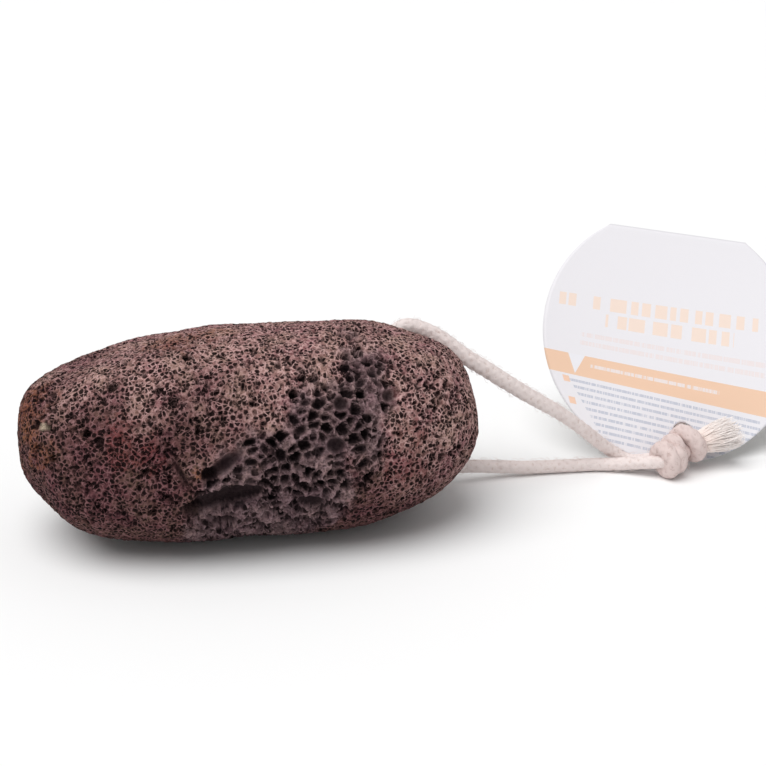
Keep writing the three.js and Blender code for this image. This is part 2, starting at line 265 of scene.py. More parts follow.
# %% The stone's form
HALF = np.array([49.5, 26.0, 23.1])
END_FULLNESS, SECTION_FULLNESS = 2.6, 2.3
ROLL = math.radians(14)
BODY_HEIGHT = 22.4
LUMPS = [  # middle in the stone's own axes, height, width
    ((-44, -4, 11), 2.0, 6),
    ((-36, -4, 17), -3.3, 7),
    ((-20, -6, 22), -1.2, 10),
    ((5, -6, 23), -0.8, 10),
    ((28, -4, 21), 0.8, 9),
    ((42, -2, 14), 0.9, 7),
    ((28, -12, -18), 0.7, 9),
    ((-34, -10, -16), 1.1, 8),
    ((-45, -6, -10), -1.5, 6),
]
NET = (190, 104, 92)  # meshes along, across and up
RIPPLES = (0.28, 0.22)  # heights of two slow waves, mm


def form_radius(d):
    """Distance from the middle to the surface: ((|y/b|^n + |z/c|^n)^(m/n) + |x/a|^m)^(-1/m),
    plus a bell for each lump and two slow waves."""
    across = np.abs(d[:, 1] / HALF[1]) ** SECTION_FULLNESS + np.abs(d[:, 2] / HALF[2]) ** SECTION_FULLNESS
    along = np.abs(d[:, 0] / HALF[0]) ** END_FULLNESS
    radius = (across ** (END_FULLNESS / SECTION_FULLNESS) + along) ** (-1 / END_FULLNESS)
    p = d * radius[:, None]
    total = radius.copy()
    for at, high, wide in LUMPS:
        total += high * np.exp(-((p - at) ** 2).sum(1) / (2 * wide ** 2))
    x, y, z = p.T
    total += RIPPLES[0] * np.sin(x / 4.1 + z / 6.3) * np.sin(y / 4.7 - x / 9.1)
    total += RIPPLES[1] * np.sin(z / 3.2 - x / 5.3 + y / 7.7)
    return total


def box_net(n):
    """The points and quads of a box's surface, in whole-number places from 0 to n, each point
    once."""
    quads = []
    for axis in range(3):
        u, v = [k for k in range(3) if k != axis]
        for end in (0, n[axis]):
            i, j = np.meshgrid(np.arange(n[u]), np.arange(n[v]), indexing="ij")
            corners = []
            for di, dj in ((0, 0), (1, 0), (1, 1), (0, 1)):
                place = np.zeros((i.size, 3), int)
                place[:, axis] = end
                place[:, u] = i.ravel() + di
                place[:, v] = j.ravel() + dj
                corners.append(place)
            # the order of the corners makes each face point out of the box
            outward = (end > 0) == (axis != 1)
            quads.append(np.stack(corners if outward else corners[::-1], 1))
    quads = np.concatenate(quads)
    places, index = np.unique(quads.reshape(-1, 3), axis=0, return_inverse=True)
    return places, index.reshape(-1, 4)


def stone_form():
    """Box net to directions, by tan so that the meshes come out even, then to the form, rolled,
    lifted, and pressed flat at the floor."""
    places, quads = box_net(NET)
    unit = np.tan((2 * places / np.array(NET) - 1) * math.pi / 4)
    directions = unit * HALF
    directions /= np.linalg.norm(directions, axis=1, keepdims=True)
    p = directions * form_radius(directions)[:, None]
    y = p[:, 1] * math.cos(ROLL) + p[:, 2] * math.sin(ROLL)
    z = -p[:, 1] * math.sin(ROLL) + p[:, 2] * math.cos(ROLL) + BODY_HEIGHT
    points = np.column_stack([p[:, 0], y, np.maximum(z, 0)])
    return points, quads


form_points, stone_quads = stone_form()
form_normals = point_normals(form_points, stone_quads)
print(f"stone net: {len(form_points)} points, {2 * len(stone_quads)} triangles")
print("stone's form, mm:", form_points.min(0).round(1), form_points.max(0).round(1))

# %% [markdown]
# Lava is a froth that froze. Where its skin is worn away, the surface cuts through
# bubbles, and each shows as a cup: what is left of the bubble's far wall. So bubbles are
# scattered through the whole body of the stone, and a point of the form that lies inside
# one is moved straight in until it meets that far wall. Cutting thousands of balls away
# by Boolean modifiers would give the same cups, but slowly. The scatter is a grid of
# cells with one middle in each, moved about at random.

# %% Scattered middles


def hashed(cells, seed):
    """Five numbers from 0 to 1 for each whole-number cell, by multiplying and shifting its bits."""
    with np.errstate(over="ignore"):
        x, y, z = (cells[..., k].astype(np.uint32) for k in range(3))
        h = x * np.uint32(73856093) ^ y * np.uint32(19349663) ^ z * np.uint32(83492791)
        h = h ^ np.uint32(seed * 7919 + 1)
        found = []
        for _ in range(5):
            h = h * np.uint32(747796405) + np.uint32(2891336453)
            mixed = ((h >> (h >> np.uint32(28)) + np.uint32(4)) ^ h) * np.uint32(277803737)
            found.append(((mixed >> np.uint32(22)) ^ mixed).astype(np.float64) / 2 ** 32)
    return np.stack(found, -1)


def neighbours(points, cell, seed, jitter=0.8):
    """For each of the 27 cells about each point: its scattered middle, and two more random
    numbers."""
    home = np.floor(points / cell).astype(np.int64)
    for offset in np.ndindex(3, 3, 3):
        cells = home + np.array(offset) - 1
        draws = hashed(cells, seed)
        yield (cells + 0.5 + jitter * (draws[:, :3] - 0.5)) * cell, draws[:, 3], draws[:, 4]


print("one cell's numbers:", hashed(np.array([[3, 1, 4]]), 11)[0].round(2))

# %% [markdown]
# In a band across the front the bubbles grew until they touched. There each point
# belongs to the nearest of the scattered middles, and a thin wall is left where two
# middles are as near as each other. That is how a froth packs, so the holes come out
# with flat sides and corners, as the real ones have.

# %% The coarse band
BAND_LOW, BAND_HIGH = np.array([-1.0, 12.0]), np.array([20.0, 36.0])  # x and z of its ends
BAND_RADII = (15.0, 6.8)
FOAM_CELL = 2.45
FOAM_WALL = 0.18
FOAM_DEPTHS = (0.5, 3.2)
FOAM_SLOPE = 1.2  # mm from a wall to the full depth


def inside_band(points):
    """How far inside the coarse band a point is, mm: a tapered stripe in x and z on the front,
    with an edge that wanders."""
    run = BAND_HIGH - BAND_LOW
    flat = points[:, [0, 2]] - BAND_LOW
    t = np.clip(flat @ run / (run @ run), 0, 1)
    apart = np.linalg.norm(flat - t[:, None] * run, axis=1)
    inside = BAND_RADII[0] + (BAND_RADII[1] - BAND_RADII[0]) * t - apart + 2.6 * waves(points, 9.0, 31)
    return np.where(points[:, 1] < 0, inside, -20)


def sink_into_foam(points, share):
    """Touching bubbles: with f1 and f2 the distances to the nearest two middles, the depth is
    d sqrt((f2 - f1 - wall) / slope), where d differs from bubble to bubble."""
    first = np.full(len(points), 99.0)
    second = first.copy()
    depth = np.zeros(len(points))
    for middles, size, draw in neighbours(points, FOAM_CELL, 11, 0.95):
        apart = np.linalg.norm(points - middles, axis=1)
        nearest = apart < first
        second = np.where(nearest, first, np.minimum(second, apart))
        here = FOAM_DEPTHS[0] + (FOAM_DEPTHS[1] - FOAM_DEPTHS[0]) * size ** 0.7
        here = here * (4 * draw - 2.6 < inside_band(middles))
        depth = np.where(nearest, here, depth)
        first = np.where(nearest, apart, first)
    return depth * np.sqrt(np.clip((second - first - FOAM_WALL) / FOAM_SLOPE, 0, 1)) * share


print(f"share of the form in the coarse band: {np.mean(inside_band(form_points) > 0):.3f}")

# %% [markdown]
# A few long pockets, where bubbles ran together, are ellipsoids at the places that the
# solid model has them. They are big enough to be recognised, so each is listed one by one.
# A turn is in the plane of the front face, and a positive one falls to the right.

# %% The pockets
POCKETS = [  # middle, half sizes, and turn in degrees, as in the solid
    ((-7.8, -27.2, 25.6), (6.6, 3.4, 2.3), -34),
    ((-11.9, -25.6, 23.0), (1.9, 3.4, 1.6), 0),
    ((-8.7, -26.0, 17.0), (8.6, 4.4, 2.8), -11),
    ((-15.2, -24.2, 15.0), (2.4, 4.2, 2.2), 0),
    ((-9.2, -22.8, 10.8), (3.0, 3.6, 1.9), -8),
    ((-18.3, -25.2, 24.8), (5.8, 1.5, 0.7), 64),
    ((14.5, -25.6, 27.0), (2.5, 2.6, 2.1), 10),
    ((16.2, -23.0, 35.4), (2.1, 2.6, 2.0), 0),
    ((27.0, -20.8, 35.4), (2.3, 2.4, 1.9), 0),
    ((9.2, -25.2, 14.4), (3.6, 3.0, 1.8), 12),
    ((49.4, -10.6, 25.2), (1.6, 3.2, 1.2), 0),
]


def sink_into_pockets(points, normals):
    """How far in the far wall of each pocket is, one after another: turned and stretched to a
    unit ball, where the far wall's distance is a root of a quadratic."""
    sunk = np.zeros(len(points))
    for at, half, turn in POCKETS:
        c, s = math.cos(math.radians(turn)), math.sin(math.radians(turn))
        axes = np.array([[c, 0, -s], [0, 1, 0], [s, 0, c]])
        here = points - normals * sunk[:, None]
        q = (here - at) @ axes.T / half
        m = normals @ axes.T / half
        a, b, k = (m ** 2).sum(1), (q * m).sum(1), (q ** 2).sum(1) - 1
        sunk += np.where(k < 0, (b + np.sqrt(np.maximum(b ** 2 - a * k, 0))) / a, 0)
    return sunk


print(f"deepest pocket: {sink_into_pockets(form_points, form_normals).max():.1f} mm")

# %% [markdown]
# Everywhere else the bubbles stay apart, in two sizes: middling ones, which come in
# swarms beside the band, and fine ones nearly everywhere. What decides is a draw for
# each bubble against a chance that drifts over the stone.

# %% Middling and fine bubbles
MIDDLING = {"cell": 3.2, "radii": (0.65, 1.2), "seed": 12, "most": 2.0}
FINE = {"cell": 1.2, "radii": (0.37, 0.61), "seed": 13, "most": 1.0}


def sink_into_bubbles(points, normals, keep, cell, radii, seed, most):
    """How far in the far wall of the deepest bubble is, for points inside one: with away = p -
    middle and b = away . n, it is b + sqrt(b^2 - |away|^2 + r^2), and never more than most.
    keep(middles, draw) scales the radii."""
    deepest = np.zeros(len(points))
    for middles, size, draw in neighbours(points, cell, seed):
        radius = (radii[0] + (radii[1] - radii[0]) * size) * keep(middles, draw)
        away = points - middles
        b, apart = (away * normals).sum(-1), (away ** 2).sum(-1)
        wall = b + np.sqrt(np.maximum(b ** 2 - apart + radius ** 2, 0))
        deepest = np.maximum(deepest, np.where(apart < radius ** 2, wall, 0))
    return np.minimum(deepest, most)


def middling_keep(middles, draw):
    """About one cell in three holds a middling bubble, more near the coarse band, none in it."""
    band = inside_band(middles)
    chance = 0.34 + 0.12 * waves(middles, 20.0, 32) + 0.4 * step(-7, 0, band)
    return (draw < chance) * (1 - step(-0.5, 0.8, band))


def fine_keep(middles, draw):
    """Fine pores nearly everywhere, smaller in some clouds, larger in others, few in the band."""
    clouds = 0.92 + 0.2 * waves(middles, 11.0, 33)
    return clouds * (draw < 0.85) * (1 - step(-0.5, 1.0, inside_band(middles)))


sample = sink_into_bubbles(form_points[::100], form_normals[::100], fine_keep, **FINE)
print(f"share of the form that fine bubbles open: {np.mean(sample > 0):.2f}")

# %% [markdown]
# The form is sunk step by step, the largest hollows first, and each step starts from the
# points that the last one left. Inside a pocket the wall is one bubble's own, so the
# smaller ones are left out there, and it is roughened instead.

# %% The pitted stone


def rough(points, bare):
    """Low short waves everywhere, and higher, longer ones in the pockets."""
    short = 0.1 * waves(points, 2.6, 41) + 0.05 * waves(points, 1.1, 42)
    return short + 0.3 * waves(points, 5.0, 43) * (1 - bare)


def pitted_stone():
    """The form, sunk into pockets, then foam, middling and fine bubbles, and roughened."""
    normals = form_normals
    depths = {"pocket": sink_into_pockets(form_points, normals)}
    points = form_points - normals * depths["pocket"][:, None]
    bare = 1 - step(0.15, 0.6, depths["pocket"])
    steps = {
        "foam": lambda p: sink_into_foam(p, bare),
        "middling": lambda p: sink_into_bubbles(p, normals, middling_keep, **MIDDLING) * bare,
        "fine": lambda p: sink_into_bubbles(p, normals, fine_keep, **FINE) * bare,
        "rough": lambda p: rough(p, bare),
    }
    for name, sink in steps.items():
        depths[name] = sink(points)
        points = points - normals * depths[name][:, None]
    points[:, 2] = np.maximum(points[:, 2], 0)
    return points, depths


stone_points, depths = pitted_stone()
skin_open = sum(depths[name] for name in ("foam", "middling", "fine")) > 0.15
print(f"share of the skin that is open: {np.mean(skin_open):.2f}")
print("deepest, mm:", {name: round(float(v.max()), 1) for name, v in depths.items()})

# %% [markdown]
# Lava's colour here is a red-brown: fresh froth is grey-mauve, and air and steam turned
# its iron to rust as it cooled, most in clouds near the skin. The thin walls between the
# pores are paler where they face up, partly from wear and partly as painted top light, and
# the pores are darkened nearly to black with painted shade. Stains of rust, an orange end
# and one white mineral grain are painted by place.

# %% The stone's stains
STAINS = {  # name: (middle, reach) of each patch, mm
    "rust": [
        ((-28, -22, 30), 5.5),
        ((-24, -23, 27), 4.0),
        ((28.5, -22.5, 20), 5.5),
        ((31, -20.5, 26), 3.5),
        ((12, 24, 20), 9.0),
        ((-20, 22, 30), 7.0),
    ],
    "ochre": [
        ((-47, -8, 31), 8.0),
        ((-49, 2, 24), 8.0),
        ((-44, -12, 26), 5.0),
        ((-17, -2, 43.5), 6.5),
        ((-9, -1, 44), 5.5),
        ((-14, -26, 23.5), 1.6),
        ((36, 18, 12), 7.0),
    ],
    "grain": [((-44.1, -12.9, 31.3), 1.0)],
}


def stain(points, name):
    """Strongest at the patches' middles, with an edge that wanders, but for the grain's."""
    total = np.zeros(len(points))
    for at, reach in STAINS[name]:
        apart = np.linalg.norm(points - at, axis=1) / reach
        if name != "grain":
            apart += 0.35 * waves(points, reach * 0.9, 51) + 0.2 * waves(points, 2.2, 52)
        total = np.maximum(total, 1 - step(0.45, 1.15, apart))
    return total


def stone_colour_shares():
    """What the material needs at each point, each from 0 to 1. The walls are paler where they
    face up, which is partly wear and partly painted top light, and paler towards the drilled end than
    towards the tip."""
    x = form_points[:, 0]
    # Walls that face up are paler: this is partly wear and partly painted top light.
    up = form_normals[:, 2] + 0.009 * x + 0.36 * step(8, 38, x) + 0.14 * step(-45, -15, x) - 0.14
    up = up + 0.22 * waves(form_points, 16, 61)
    return {
        "wear_and_top_light": step(-0.2, 1.05, up),
        # where painted shade goes: open pores, the froth's cups and the pockets
        "open": step(0.1, 0.55, depths["middling"] + depths["fine"]),
        "cup": step(0.3, 1.7, depths["foam"]),
        "deep": step(0.2, 1.8, depths["pocket"]),
        "band": step(-4.0, 3.5, inside_band(form_points) + 1.5 * waves(form_points, 4.0, 62)),
        **{name: stain(form_points, name) for name in STAINS},
    }


stone_attributes = stone_colour_shares()
print("mean shares:", {name: round(float(v.mean()), 3) for name, v in stone_attributes.items()})

# %% [markdown]
# The net holds bubbles down to about a millimetre. Finer ones are drawn by the material,
# as cells of a Voronoi pattern, because each cell has a wall towards its neighbours, as
# bubbles have. A cell is a hole in its middle where its own random number and a cloud of
# noise say so. The pattern is bent a little by noise, so that no wall is quite straight.

# %% Pores too fine for the net
PORES = {  # size of a cell in mm, and the share of cells that stays closed
    "pore": (1.02, 0.24),
    "crumb": (0.6, 0.45),
    "foam": (1.75, 0.42),
}
BEND_MM = 0.55


def shader_pores(add, place, lot, where, whole):
    """For each kind of pore its holes, and the distance to its walls. A hole is the product of
    where it may be, clear of the walls, within a radius of the middle, and a draw that opens it."""
    drift = add("TexNoise", {"Vector": place, "Scale": 1 / (1.3 * MM), "Detail": 2.0}, out="Color")
    bent = add("VectorMath", [drift, (BEND_MM * MM,) * 3, place], operation="MULTIPLY_ADD")
    holes, edges = {}, {}
    for name, (size, closed) in PORES.items():
        cells = {"Vector": bent, "Scale": 1 / (size * MM)}
        edges[name] = add("TexVoronoi", cells, out="Distance", feature="DISTANCE_TO_EDGE")
        middle = add("TexVoronoi", cells, out="Distance")
        draw = add("SeparateColor", [add("TexVoronoi", cells, out="Color")])
        chance = add("Math", [lot, 0.6, draw], operation="MULTIPLY_ADD")
        radius = add("Math", [draw, 0.16, 0.34], operation="MULTIPLY_ADD")
        beyond = add("Math", [middle, radius], operation="SUBTRACT")
        holes[name] = where[name]
        for factor in (
            whole,
            add("MapRange", [edges[name], 0.05, 0.17]),
            add("MapRange", [beyond, 0.14, -0.06]),
            add("MapRange", [chance, closed + 0.3, closed + 0.42]),
        ):
            holes[name] = add("Math", [holes[name], factor], operation="MULTIPLY")
    return holes, edges


print("cells drawn by the material, mm:", {name: size for name, (size, closed) in PORES.items()})

# %% [markdown]
# The material is vesicular lava, broken and tumbled, so it is matt and rough at every
# scale. It is built as a painter would: flecked walls first, browner in some clouds and
# redder in others, paler where they face up, which is partly wear and partly painted top
# light, and greyer in the coarse band. Then come the pale rims of the pores, which are
# painted highlights, the stains, and last the painted shade that darkens every hollow. A
# grain of 0.3 mm breaks up the walls in the bump.

# %% Lava material
WALL_TONES = {  # dark and pale flecks outside the clouds, and the same inside them
    "low": ("3f2329", "6b4346", "44302b", "6f554c"),
    # the paler tones of walls that face up, partly wear and partly painted top light
    "wear_and_top_light": ("7a4e50", "ad7f82", "7f5f58", "b69489"),
    "froth": ("5b474e", "8c7378", "735d61", "ad9090"),
}
PORE_SHADE = "130a0b"
NOISE_MM = {"grain": 0.3, "fleck": 0.8, "highlight_noise": 1.3, "lot": 3.5, "cloud": 6.0}


def lava_material():
    """Walls by place, stained by attributes, then darkened with painted shade in pores, cups and pockets."""
    material, add = new_material("tumbled_red_lava")
    place = add("TexCoord", out="Object")
    noise = {}
    for name, size in NOISE_MM.items():
        fine = {"Vector": place, "Scale": 1 / (size * MM), "Detail": 3.0}
        noise[name] = add("TexNoise", fine, out="Fac")
    given = {name: add("Attribute", attribute_name=name, out="Fac") for name in stone_attributes}
    outside = add("Math", [given["band"], -0.55, 1.0], operation="MULTIPLY_ADD")
    where = {"pore": outside, "crumb": outside, "foam": given["band"]}
    whole = add("MapRange", [given["deep"], 0.02, 0.25, 1.0, 0.0])
    holes, edges = shader_pores(add, place, noise["lot"], where, whole)
    hole = add("Math", [holes["pore"], holes["foam"]], operation="MAXIMUM")

    cloud = add("MapRange", [noise["cloud"], 0.35, 0.65])
    fleck = add("MapRange", [noise["fleck"], 0.33, 0.67])
    # The pale rims of the pores are painted highlights, broken into patches by this noise.
    highlight_patches = add("MapRange", [noise["highlight_noise"], 0.35, 0.6])
    rim_highlights = {name: add("MapRange", [edges[name], 0.14, 0.03]) for name in ("pore", "foam")}
    tones = {}
    for name, (dark, pale, cloudy_dark, cloudy_pale) in WALL_TONES.items():
        clear = glaze(add, dark, [([fleck], pale)])
        cloudy = glaze(add, cloudy_dark, [([fleck], cloudy_pale)])
        tones[name] = glaze(add, clear, [([cloud], cloudy)])
    colour = glaze(add, tones["low"], [
        # walls that face up are paler, partly wear and partly painted top light
        ([given["wear_and_top_light"]], tones["wear_and_top_light"]),
        # painted highlights on the rims of the fine pores, paler where walls face up, and on the rims of the
        # band's froth cells
        ([rim_highlights["pore"], highlight_patches, 0.8], glaze(add, "896365", [([given["wear_and_top_light"]], "d8b2ae")])),
        ([given["band"], 0.75], glaze(add, tones["froth"], [([rim_highlights["foam"], highlight_patches, 0.7], "a38b8f")])),
        ([given["rust"], fleck, 0.65], "6e2629"),
        ([given["ochre"], fleck, 0.65], "8a5431"),
        # Painted shade: the pores the material draws, the open bubbles, the froth's cups and the pockets are
        # darkened nearly to black.
        ([holes["crumb"], 0.8], PORE_SHADE),
        ([hole, 0.93], PORE_SHADE),
        ([given["open"], 0.85], PORE_SHADE),
        ([given["cup"], 0.93], "140e11"),
        ([given["deep"], 0.9], "150e11"),
        ([given["grain"]], "b9a893"),
    ])

    height = add("Math", [hole, -0.9, noise["grain"]], operation="MULTIPLY_ADD")
    height = add("Math", [holes["crumb"], -0.4, height], operation="MULTIPLY_ADD")
    bump = add("Bump", {"Strength": 0.9, "Distance": 0.35 * MM, "Height": height})
    finish_material(add, Base_Color=colour, Roughness=0.95, Specular_IOR_Level=0.08, Normal=bump)
    return material


stone = add_mesh("stone_skin", stone_points, stone_quads, lava_material(), **stone_attributes)
print("lava's nodes:", len(stone.data.materials[0].node_tree.nodes))

# %% [markdown]
# The cord's route is the solid's: from the knot along the table, under the stone and up
# the hole, over the shoulder and down to the knot. There it goes on through the knot
# and out by the punched hole of the tag. A Catmull-Rom curve runs through the points,
# and is cut into equal steps, because a braid has the same pitch all along.

# %% Route of the cord
ROUTE = np.array([
    [98.4, 4.4, 4.4], [94.8, 6.9, 3.5], [91.4, 9.2, 2.7], [88, 11.0, 2.0], [83, 12.6, 1.7], [75, 13.3, 1.7],
    [67, 13.5, 2.0], [60, 13.4, 2.8], [53, 12.7, 3.8], [47.5, 12.0, 4.3], [43, 11.6, 4.3], [39.1, 11.5, 4.2],
    [36.65, 11.5, 4.7], [34.55, 11.5, 6.1], [33.2, 11.5, 8.2], [32.7, 11.5, 10.8], [32.6, 11.5, 16],
    [32.6, 11.5, 22], [32.5, 11.5, 28], [32.5, 11.5, 33], [32.9, 11.6, 35.7], [34.2, 11.7, 37.6],
    [36.2, 11.9, 39.0], [38.6, 11.9, 39.2], [42.2, 11.5, 37.9], [45.8, 10.6, 35.7], [50.2, 9.5, 32.3],
    [55.2, 9.1, 28.9], [60.5, 9.3, 25.1], [66.5, 9.9, 20.9], [73.5, 10.8, 16.2], [79.5, 12.0, 11.4],
    [84.3, 13.4, 7.1], [88.2, 14.1, 3.9], [91.8, 12.9, 2.0], [95.3, 10.7, 2.6], [98.8, 8.2, 4.2],
    # through the knot and the tag's hole
    [102.0, 7.3, 5.2], [104.6, 8.6, 5.7], [105.9, 11.2, 6.0], [106.3, 13.8, 6.3], [106.5, 16.4, 6.5],
    [106.8, 18.8, 6.6], [107.2, 20.8, 6.7],
])
CORD_MM = 3.0
CORD_STEP = 0.25


def through(points, step_mm, tension=0.5):
    """Catmull-Rom curve: between p1 and p2, p1 + m1 t + (3d - 2m1 - m2) t^2 + (m1 + m2 - 2d) t^3,
    with d = p2 - p1 and m the slopes tension * (next - last), cut again to equal steps."""
    ends = np.vstack([2 * points[0] - points[1], points, 2 * points[-1] - points[-2]])
    slopes = tension * (ends[2:] - ends[:-2])
    t = np.linspace(0, 1, 40, endpoint=False)[None, :, None]
    p1, d = points[:-1, None], (points[1:] - points[:-1])[:, None]
    m1, m2 = slopes[:-1, None], slopes[1:, None]
    dense = p1 + m1 * t + (3 * d - 2 * m1 - m2) * t ** 2 + (m1 + m2 - 2 * d) * t ** 3
    dense = np.vstack([dense.reshape(-1, 3), points[-1]])
    gone = np.concatenate([[0], np.cumsum(np.linalg.norm(np.diff(dense, axis=0), axis=1))])
    places = np.linspace(0, gone[-1], int(round(gone[-1] / step_mm)) + 1)
    return np.column_stack([np.interp(places, gone, dense[:, k]) for k in range(3)]), places


cord_line, cord_places = through(ROUTE, CORD_STEP)
print(f"cord, knot end to frayed end: {cord_places[-1]:.1f} mm")

# %% [markdown]
# A tube is a ring of points carried along a line. The same few lines of arrays make the
# cord and the wraps of the knot. The cord is braided from eight strands, which shows as
# two sets of ridges that cross: each is a cosine round the cord that also turns with the
# distance along it.

# %% Tubes and braid
BRAID_PITCH = 8.8  # one full turn of a strand, mm
BRAID_DEPTH = 0.06


def grid_quads(rows, columns, closed=True):
    """Quads between the points of a grid stored row by row; closed joins each row's ends."""
    i, j = np.meshgrid(np.arange(rows - 1), np.arange(columns - (not closed)), indexing="ij")
    k = (j + 1) % columns
    corners = [i * columns + j, i * columns + k, (i + 1) * columns + k, (i + 1) * columns + j]
    return np.stack(corners, -1).reshape(-1, 4)


def braid(places, turns, strands=4, depth=BRAID_DEPTH):
    """Share of the radius at each point: 1 + depth (h - 0.45), where the height h is the greater
    of cos(n(a + ks)) and cos(n(a - ks)), and never under -0.3."""
    turn = 2 * math.pi * places / BRAID_PITCH
    ridges = np.maximum(np.cos(strands * (turns + turn)), np.cos(strands * (turns - turn)))
    return 1 + depth * (np.maximum(ridges, -0.3) - 0.45)


def tube(line, radius, ref, around=40):
    """Rings of points: line + r(s, a) (cos a u + sin a v), u and v square to the line and u near
    ref, and the braid's height at each."""
    along = np.gradient(line, axis=0)
    along /= np.linalg.norm(along, axis=1, keepdims=True)
    u = ref - along * (ref * along).sum(-1, keepdims=True)
    u /= np.linalg.norm(u, axis=1, keepdims=True)
    v = np.cross(along, u)
    gone = np.cumsum(np.linalg.norm(np.diff(line, axis=0), axis=1))
    places = np.concatenate([[0], gone])[:, None]
    turns = np.linspace(0, 2 * math.pi, around, endpoint=False)[None, :]
    r = (np.reshape(radius, (-1, 1)) * braid(places, turns))[..., None]
    spokes = np.cos(turns)[..., None] * u[:, None] + np.sin(turns)[..., None] * v[:, None]
    height = braid(places, turns, depth=1.0)
    return (line[:, None] + r * spokes).reshape(-1, 3), grid_quads(len(line), around), height.ravel()


print(f"a strand turns {cord_places[-1] / BRAID_PITCH:.1f} times along the cord")

# %% [markdown]
# Loose cotton shows as fibres. Blender's hair could grow them, but as mesh they go out
# with the model, so each is a thin tube too, and thousands are worked out at once.

# %% Fibres


def fibres(lines, radius, sides=3):
    """Many thin tubes at once: lines is (fibre, point, 3), radius (fibre, point)."""
    count, steps, _ = lines.shape
    along = np.gradient(lines, axis=1)
    along /= np.linalg.norm(along, axis=2, keepdims=True) + 1e-12
    u = np.cross(along, np.array([0.36, 0.48, 0.8]))
    u /= np.linalg.norm(u, axis=2, keepdims=True) + 1e-12
    v = np.cross(along, u)
    turns = np.linspace(0, 2 * math.pi, sides, endpoint=False)[None, None, :, None]
    spokes = np.cos(turns) * u[:, :, None] + np.sin(turns) * v[:, :, None]
    points = lines[:, :, None] + radius[:, :, None, None] * spokes
    quads = grid_quads(steps, sides)[None] + (np.arange(count) * steps * sides)[:, None, None]
    return points.reshape(-1, 3), quads.reshape(-1, 4)


def bundle(parts):
    """Join several (points, quads, extra) into one."""
    starts = np.cumsum([0] + [len(p[0]) for p in parts[:-1]])
    return (
        np.concatenate([p[0] for p in parts]),
        np.concatenate([p[1] + s for p, s in zip(parts, starts)]),
        np.concatenate([p[2] for p in parts]),
    )


print("faces of a fibre with five points:", len(grid_quads(5, 3)))

# %% [markdown]
# The hole is drilled after the skin is made, as it is on the real stone: a bit with
# wider ends, for the edges that a drill breaks off, is taken away by a Boolean modifier.
# The modifier's result is kept as the stone's mesh, and the bit is thrown away.

# %% The drilled hole
BORE = {"x": 34.0, "y": 11.5, "radius": 3.25, "flare": 2.0}
BORE_MOUTHS = ((2.4, 7.4), (36.2, 41.2))  # heights between which each mouth widens


def punch(piece, rings):
    """Give the piece the mesh that its modifiers make, less a closed solid of stacked rings,
    which is an array (ring, point, 3) in mm."""
    rows, columns = rings.shape[:2]
    last = (rows - 1) * columns
    caps = [list(range(columns))[::-1], list(range(last, last + columns))]
    mesh = bpy.data.meshes.new("tool")
    sides = grid_quads(rows, columns).tolist()
    mesh.from_pydata((rings.reshape(-1, 3) * MM).tolist(), [], sides + caps)
    tool = bpy.data.objects.new("tool", mesh)
    bpy.context.collection.objects.link(tool)
    cut = piece.modifiers.new("cut", "BOOLEAN")
    cut.operation, cut.solver, cut.object = "DIFFERENCE", "EXACT", tool
    evaluated = piece.evaluated_get(bpy.context.evaluated_depsgraph_get())
    made = bpy.data.meshes.new_from_object(evaluated)
    piece.modifiers.clear()
    piece.data = made
    bpy.data.objects.remove(tool)


def drill_bit():
    """r(z) = radius + flare towards both mouths, with a ragged wall."""
    turns = np.linspace(0, 2 * math.pi, 48, endpoint=False)[None, :]
    high = np.linspace(-5, 55, 120)[:, None]
    low_mouth, high_mouth = (step(*mouth, high) for mouth in BORE_MOUTHS)
    r = BORE["radius"] + BORE["flare"] * (high_mouth + 1 - low_mouth)
    r = r + 0.15 + 0.1 * np.sin(3 * turns + high) + 0.08 * np.sin(7 * turns - 2.3 * high)
    return np.stack([BORE["x"] + r * np.cos(turns), BORE["y"] + r * np.sin(turns), high + 0 * turns], -1)


punch(stone, drill_bit())
print("stone, triangles after drilling:", sum(len(p.vertices) - 2 for p in stone.data.polygons))

# %% [markdown]
# The cord is undyed cotton, so it is a warm off-white and quite matt, and darker down in
# the braid, where light doesn't reach and dust stays. The braid's height comes with the
# mesh as an attribute, so the colour follows the strands. The knot's cotton is a shade
# darker than the cord's.

# %% Cotton


def cotton_material(name, light, dark):
    """Off-white by braid height and noise, and matt."""
    material, add = new_material(name)
    place = add("TexCoord", out="Object")
    height = add("Attribute", attribute_name="braid", out="Fac")
    grain = add("TexNoise", {"Vector": place, "Scale": 1 / (0.45 * MM), "Detail": 3.0}, out="Fac")
    blotch = add("TexNoise", {"Vector": place, "Scale": 1 / (2.2 * MM), "Detail": 2.0}, out="Fac")
    mixed = add("Math", [height, 0.2, grain], operation="MULTIPLY_ADD")
    mixed = add("Math", [blotch, 0.5, mixed], operation="MULTIPLY_ADD")
    colour = add("ValToRGB", {"Fac": mixed}, stops=[(0.5, dark), (0.85, light)])
    bump = add("Bump", {"Strength": 0.6, "Distance": 0.12 * MM, "Height": grain})
    finish_material(add, Base_Color=colour, Roughness=0.95, Specular_IOR_Level=0.1, Normal=bump)
    return material


cord_cotton = cotton_material("braided_cotton", "e8dcd9", "cfbbb4")
knot_cotton = cotton_material("knotted_cotton", "dccac6", "b59d96")
print("cotton:", cord_cotton.name, "and", knot_cotton.name)

# %% [markdown]
# The cord is one tube along the whole route, braided, and swollen where it bends over
# the stone's shoulder and its strands open. On a new cord loose fibres stand off the
# strands by a few tenths of a millimetre, and without them it looks like plastic.

# %% The cord
SIDEWAYS = np.array([0.0, 1.0, 0.0])
CORD_FUZZ, FUZZ_RADIUS = 1400, 0.028
SHOULDER_SWELL = 0.35


def cord_radius(places):
    """Half the cord's thickness, and up to a quarter more over the shoulder."""
    return CORD_MM / 2 + SHOULDER_SWELL * step(88, 96, places) * (1 - step(120, 160, places))


